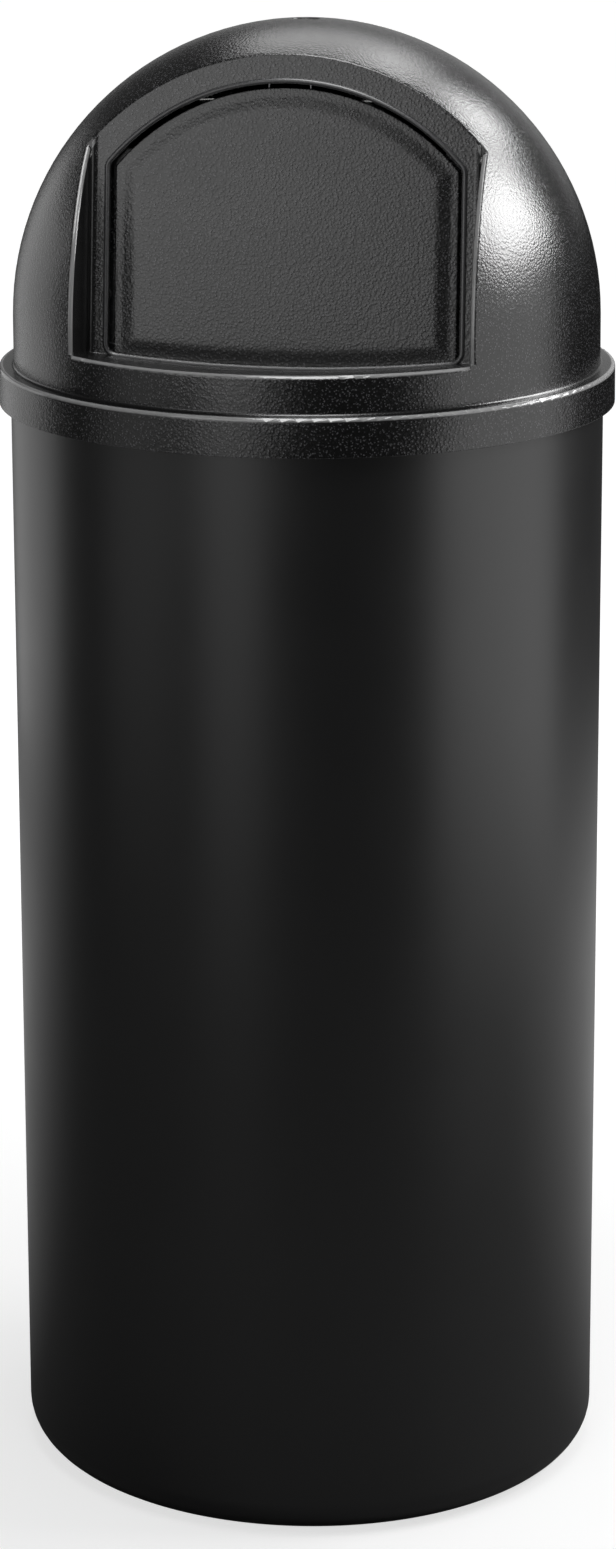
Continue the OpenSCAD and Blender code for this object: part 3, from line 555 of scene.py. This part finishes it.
into_face = (math.pi / 2 - tilt, 0, 0)
foot_back, foot_mid_r, foot_x, screw_swing = -11.5, 150.9, 69, 8.0
bracket_angle = math.degrees(math.acos(foot_x / foot_mid_r))
screw_spots = [on_face(side * foot_mid_r * math.cos(math.radians(bracket_angle + swing)),
                       arch_lift + foot_mid_r * math.sin(math.radians(bracket_angle + swing)),
                       foot_back)
               for side in (1, -1) for swing in (-screw_swing, screw_swing)]
head_r, head_h, crown_r, shank_r, shank_l, tip = 3.6, 2.2, 2.6, 1.9, 8.0, 0.7
arm, slit, slit_depth = 2.0, 0.5, 1
plus = [(arm, slit), (slit, slit), (slit, arm), (-slit, arm), (-slit, slit), (-arm, slit),
        (-arm, -slit), (-slit, -slit), (-slit, -arm), (slit, -arm), (slit, -slit), (arm, -slit)]
cross = bmesh.new()
plate(cross, *[[(x / 1000, y / 1000, z / 1000) for x, y in plus]
               for z in (-head_h - slit_depth, -head_h + slit_depth)])
cross_cutter = linked("cross_cutter", as_mesh("cross_cutter", cross))
plated = shader("zinc_plated_steel", lambda tree, skin: drawn(
    tree, skin, (0.66, 0.66, 0.64), 0.28, (500, 500, 500)))
screw_points = spots("screw_spots", screw_spots, [into_face] * 4)
screws = grown("bracket_screw_set", profile([
    (0, -head_h, 0), (crown_r, -head_h, 1.0), (head_r, -0.5, 0.8), (head_r, 0, 0.2),
    (shank_r, 0, 0), (shank_r, shank_l - 1, 0.3), (shank_r - tip, shank_l, 0.2),
    (0, shank_l, 0)]), setting_tree(True), Spots=screw_points, Cutter=cross_cutter,
    Segments=40, Steps=5, Skin=plated)
for helper in (screw_points, cross_cutter):
    bpy.data.objects.remove(helper)
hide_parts("bracket_screws")
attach(screws, "hood")

# Hinge rod. Bright drawn steel rod with chamfered ends, held by the brackets. The
# door's knuckles turn on it. Two spring-steel caps are pushed on its ends.
shaded("hinge_rod", shader("drawn_steel", lambda tree, skin: drawn(
    tree, skin, (0.60, 0.60, 0.59), 0.24)))
axis_y, axis_z, rod_r = 134.0, -20.0, 3.05
cap_x, cap_r, cap_t, sleeve_r, sleeve_end = 72.3, 5.6, 1, 4.3, 3
blued = shader("blued_spring_steel", lambda tree, skin: drawn(
    tree, skin, (0.13, 0.13, 0.14), 0.34, (300, 300, 300)))
cap_points = spots("cap_spots", [on_face(side * cap_x, axis_y, axis_z) for side in (1, -1)],
                   [(0, math.pi / 2, 0), (0, -math.pi / 2, 0)])
caps = grown("rod_cap_pair", profile([
    (rod_r, 0.5, 0), (rod_r, 0, 0.1), (cap_r, 0, 0.3), (cap_r, cap_t, 0.3),
    (sleeve_r, cap_t, 0.25), (sleeve_r, sleeve_end, 0.6), (rod_r, sleeve_end, 0.2),
    (rod_r, 0.5, 0)]), setting_tree(False), Spots=cap_points, Segments=48, Steps=4, Skin=blued)
bpy.data.objects.remove(cap_points)
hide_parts("rod_caps")
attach(caps, "hood")


# Door springs. Two torsion springs wound from round wire, slipped over the rod.
# The upper leg bears on the hood, the lower one lies on the door's rib and
# turns with it, so the coil winds up as the door swings.
def spring_path(side):
    """The wire's centre line: upper leg, turns round the rod, lower leg."""
    per_turn = 28
    far_x = spring_x + pitch_x * turns
    angles = [2 * math.pi * i / per_turn for i in range(turns * per_turn + 1)]
    line = [(spring_x, axis_y + y, axis_z + coil_r) for y in (20.0, 15.0, 9.0, 4.0, 1.2)]
    line += [(spring_x + pitch_x * i / per_turn, axis_y - coil_r * math.sin(angle),
              axis_z + coil_r * math.cos(angle)) for i, angle in enumerate(angles)]
    line += [(far_x, axis_y - y, axis_z + coil_r) for y in (1.2, 6.0, 14.0, 24.0, 34.0, 42.0)]
    return [on_face(side * x, y, z) for x, y, z in line]


wire_r, coil_r, turns, pitch_x, spring_x = 0.8, 4.3, 7, 2.4, 13.0
wire_skin = shader("music_wire", lambda tree, skin: drawn(
    tree, skin, (0.42, 0.42, 0.43), 0.26, (250, 250, 250)))
for side, name in ((1, "right"), (-1, "left")):
    spring = grown("torsion_spring_" + name, path(spring_path(side)), sweep,
                   Radius=wire_r / 1000, Sides=12, Skin=wire_skin)
    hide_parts("door_spring_" + name)
    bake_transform(spring)

# Buffers. Four moulded rubber plugs pressed into bosses beside the doorway. The
# door's flange closes against them without a knock.
boss_back, buffer_x, rib_heights = -10.9, 114.0, (11.6, 81.7)
buffer_r, buffer_h, stem_r, stem_l = 4.0, 3.4, 2.0, 4.5
buffer_points = spots("buffer_spots", [on_face(x, y, boss_back) for x in (-buffer_x, buffer_x)
                                       for y in rib_heights], [into_face] * 4)
buffers = grown("door_buffer_set", profile([
    (0, -buffer_h, 0), (buffer_r, -buffer_h, 0.9), (buffer_r, 0, 0.3), (stem_r, 0, 0),
    (stem_r, stem_l, 0.5), (0, stem_l, 0)]), setting_tree(False), Spots=buffer_points,
    Segments=40, Steps=5, Skin=rubber)
bpy.data.objects.remove(buffer_points)
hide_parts("door_buffers")
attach(buffers, "hood")


# Door. An arched moulding in the hood's plastic: a field raised a little inside a
# flat border, rounded edges, and behind them walls, ribs, a flange that meets
# the buffers, and two knuckles that hang on the rod.
def eased(points, steps=6):
    """Rounds the corners of an open line of (across, out, rounding) points."""
    line = []
    for i, (x, y, rounding) in enumerate(points):
        here = Vector((x, y))
        if rounding <= 0:
            line.append(here)
            continue
        back, on = Vector(points[i - 1][:2]) - here, Vector(points[i + 1][:2]) - here
        reach = min(rounding / math.tan(back.angle(on) / 2), back.length * 0.49,
                    on.length * 0.49)
        first, last = here + back.normalized() * reach, here + on.normalized() * reach
        for k in range(steps + 1):
            t = k / steps
            line.append(first * (1 - t) ** 2 + here * 2 * t * (1 - t) + last * t * t)
    return line


def prism(shape, outline, low, high):
    """Adds a closed plate with a flat outline between two levels of the face."""
    plate(shape, *[[on_face(x, y, z) for x, y in outline] for z in (low, high)])


def clipped(outline, top):
    """The right half of an outline below a level, from its bottom middle up."""
    half = outline[:len(outline) // 2 + 1]
    kept = [p for p in half if p[1] <= top]
    a, b = kept[-1], half[len(kept)]
    share = (top - a[1]) / (b[1] - a[1])
    return kept + [(a[0] + (b[0] - a[0]) * share, top)]


door_drop, flange_top, wall_in = 6.3, 102.7, -4.7
door_back, border_z, plate_back = -14.6, -6.0, -9.0
door = bmesh.new()
door_rings = [[door.verts.new(on_face(x, y, z)) for x, y in doorway_outline(grow, door_drop)]
              for grow, z in eased([
                  (-22.0, -4.5, 0), (-15.4, -4.55, 28), (-7.6, border_z, 20),
                  (-2.5, border_z, 1.0), (-2.5, door_back, 0.4), (wall_in, door_back, 0.4),
                  (wall_in, plate_back, 0.7), (-6.5, plate_back, 0)])]
for inner, outer in zip(door_rings, door_rings[1:]):
    for i in range(len(inner)):
        j = (i + 1) % len(inner)
        door.faces.new((inner[i], outer[i], outer[j], inner[j]))
door.faces.new(door_rings[0][::-1])
door.faces.new(door_rings[-1])

flange_reach, flange_drop, flange_back, flange_front = 7.5, -4.7, -17.1, -14.5
flange_out = clipped(doorway_outline(flange_reach, flange_drop), flange_top)
flange_in = clipped(doorway_outline(wall_in, door_drop), flange_top)
prism(door, [(-x, y) for x, y in reversed(flange_out[1:])] + flange_out + flange_in[::-1]
      + [(-x, y) for x, y in flange_in[1:]], flange_back, flange_front)

web_x, web_half, web_top, web_front, rib_half_l = 29.8, 1.1, 112.0, -8.0, 106
wall_low = doorway_outline(-3.6, door_drop)
for x in (-web_x, web_x):
    foot = min(wall_low, key=lambda p: (p[0] - x) ** 2 + (p[1] + 40) ** 2)[1]
    prism(door, [(x - web_half, foot), (x + web_half, foot), (x + web_half, web_top),
                 (x - web_half, web_top)], door_back, web_front)
for y in rib_heights:
    prism(door, [(-rib_half_l, y - web_half), (rib_half_l, y - web_half),
                 (rib_half_l, y + web_half), (-rib_half_l, y + web_half)], door_back, web_front)

knuckle_r, bore, knuckle_steps, knuckle_top = 7.0, 3.08, 26, 133.0
first_turn, last_turn = 22.6, 239.6
knuckle = [(web_front, web_top), (web_front, knuckle_top)] + arc(
    axis_z, axis_y, knuckle_r, math.radians(first_turn), math.radians(last_turn), knuckle_steps)
hole = [(axis_z + bore * (z - axis_z) / math.hypot(z - axis_z, y - axis_y),
         axis_y + bore * (y - axis_y) / math.hypot(z - axis_z, y - axis_y)) for z, y in knuckle]
for x0, x1 in ((-44.0, -36.0), (36.0, 44.0)):
    near, far, near_hole, far_hole = (
        [door.verts.new(on_face(x, y, z)) for z, y in ring]
        for x, ring in ((x0, knuckle), (x1, knuckle), (x0, hole), (x1, hole)))
    for i in range(len(knuckle)):
        j = (i + 1) % len(knuckle)
        for quad in ((near[i], near[j], far[j], far[i]),
                     (near_hole[j], near_hole[i], far_hole[i], far_hole[j]),
                     (near[j], near[i], near_hole[i], near_hole[j]),
                     (far[i], far[j], far_hole[j], far_hole[i])):
            door.faces.new(quad)

door_mesh = as_mesh("arched_door", door)
# The door's crests carry a strong painted glint.
door_mesh.materials.append(shader("fine_grain_black_plastic", lambda tree, skin: grain(
    tree, skin, size=0.0016, depth=0.00014, tint=black, polish=0.28, spread=0.08,
    polish_spread=0.03, crest_glint=5.5)))
door_panel = finished("arched_door", door_mesh)
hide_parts("push_door")
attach(door_panel, "door")


# Studio. A pale floor and backdrop that the camera sees as white. Boxes on the
# right, above and behind light the dome, and dimmer panels on the left and in
# front draw the long reflections on the tub and light the door.
def seen_white(tree, where, camera_share=1.0):
    """How far a ray sees the pale sweep: from the camera everywhere, and in gloss
    or through glass only where the lit part of the sweep stands."""
    ray = node(tree, "ShaderNodeLightPath").outputs
    shiny = maths(tree, "MAXIMUM", ray["Is Glossy Ray"], ray["Is Transmission Ray"])
    straight = maths(tree, "MULTIPLY", ray["Is Camera Ray"], camera_share)
    return maths(tree, "MAXIMUM", straight, maths(tree, "MULTIPLY", shiny, where))


def paper(tree, _):
    """Pale floor paper. It takes the lamps' light, so the piece's shadow shows, and
    glows to white further off, where the lamps don't reach."""
    shadow, white, gloss_share = 0.68, (1, 1, 1, 1), 0.45
    bounced, seen = (0.10, 0.10, 0.10, 1), (0.28, 0.28, 0.28, 1)
    glow_reach, gloss_reach, back_reach = (0.35, 1.5), (1.1, 1.9), (0.0, 0.7)
    place = node(tree, "ShaderNodeTexCoord").outputs["Object"]
    reach = maths(tree, "LENGTH", place, kind="ShaderNodeVectorMath")
    parts = node(tree, "ShaderNodeSeparateXYZ", Vector=place).outputs
    lit = maths(tree, "MULTIPLY", remapped(tree, reach, gloss_reach, (gloss_share, 0.0)),
                remapped(tree, parts["Y"], back_reach))
    glow = node(tree, "ShaderNodeEmission", Color=white, Strength=seen_white(
        tree, lit, remapped(tree, reach, glow_reach, (shadow, 1.0))))
    ray = node(tree, "ShaderNodeLightPath").outputs
    soft = node(tree, "ShaderNodeBsdfDiffuse",
                Color=mixed(tree, "MIX", ray["Is Camera Ray"], bounced, seen))
    both = node(tree, "ShaderNodeAddShader")
    feed(tree, glow.outputs[0], both.inputs[0])
    feed(tree, soft.outputs[0], both.inputs[1])
    feed(tree, both.outputs[0], tree.nodes["Material Output"].inputs["Surface"])


def soft_box(name, turn, distance, height, size, radiance, aim):
    """A rectangular lamp at an angle right of the camera, aimed at a height."""
    lamp = bpy.data.lights.new(name, "AREA")
    lamp.shape = "RECTANGLE"
    lamp.size, lamp.size_y = size
    lamp.energy = radiance * math.pi * size[0] * size[1]
    box = linked(name, lamp)
    box.visible_camera = False
    way = eye_turn + math.radians(turn)
    box.location = Vector((distance * math.sin(way), -distance * math.cos(way), height))
    box.rotation_euler = (box.location - Vector((0, 0, aim))).to_track_quat("Z", "Y").to_euler()


plane = bmesh.new()
bmesh.ops.create_circle(plane, cap_ends=True, segments=96, radius=40)
floor = linked("floor", as_mesh("floor", plane))
floor.data.materials.append(shader("pale_floor", paper))

studio = bpy.data.worlds.new("studio")
scene.world = studio
studio.use_nodes = True
sky = studio.node_tree
dimness, straight_back, back_share = 0.06, (0.9, 0.99), 0.4
way = node(sky, "ShaderNodeTexCoord")
parts = node(sky, "ShaderNodeSeparateXYZ", Vector=way.outputs["Generated"])
white = node(sky, "ShaderNodeBackground", Color=(1, 1, 1, 1), Strength=1.0)
dim = sky.nodes["Background"]
dim.inputs["Color"].default_value = (1, 1, 1, 1)
dim.inputs["Strength"].default_value = dimness
behind = remapped(sky, parts.outputs["Y"], straight_back, (0.0, back_share))
mix = node(sky, "ShaderNodeMixShader")
for socket, source in zip(mix.inputs, (seen_white(sky, behind), dim.outputs[0],
                                       white.outputs[0])):
    feed(sky, source, socket)
feed(sky, mix.outputs[0], sky.nodes["World Output"].inputs["Surface"])

soft_box("key_box", 95, 1.75, 1.58, (1.15, 0.80), 12.0, 0.88)
soft_box("key_wing", 128, 1.75, 2.05, (0.75, 0.60), 8.0, 0.88)
soft_box("high_wing", 148, 1.45, 2.45, (0.70, 0.60), 2.8, 0.88)
soft_box("right_panel", 76, 1.30, 0.50, (1.45, 0.95), 0.9, 0.50)
soft_box("overhead_box", 172, 1.15, 2.00, (1.0, 0.8), 1.8, 0.9)
soft_box("top_box", 0, 0.45, 2.15, (0.6, 1.6), 6.0, 0.80)
soft_box("left_back_panel", -130, 1.50, 0.60, (1.25, 1.1), 0.7, 0.6)
soft_box("left_front_strip", -27, 1.60, 0.35, (0.60, 0.7), 0.55, 0.4)
soft_box("door_box", -30, 1.60, 1.10, (1.15, 0.90), 1.25, 0.80)
soft_box("left_panel", -64, 1.60, 0.60, (0.80, 1.1), 0.28, 0.6)

scene.view_settings.view_transform = "Standard"
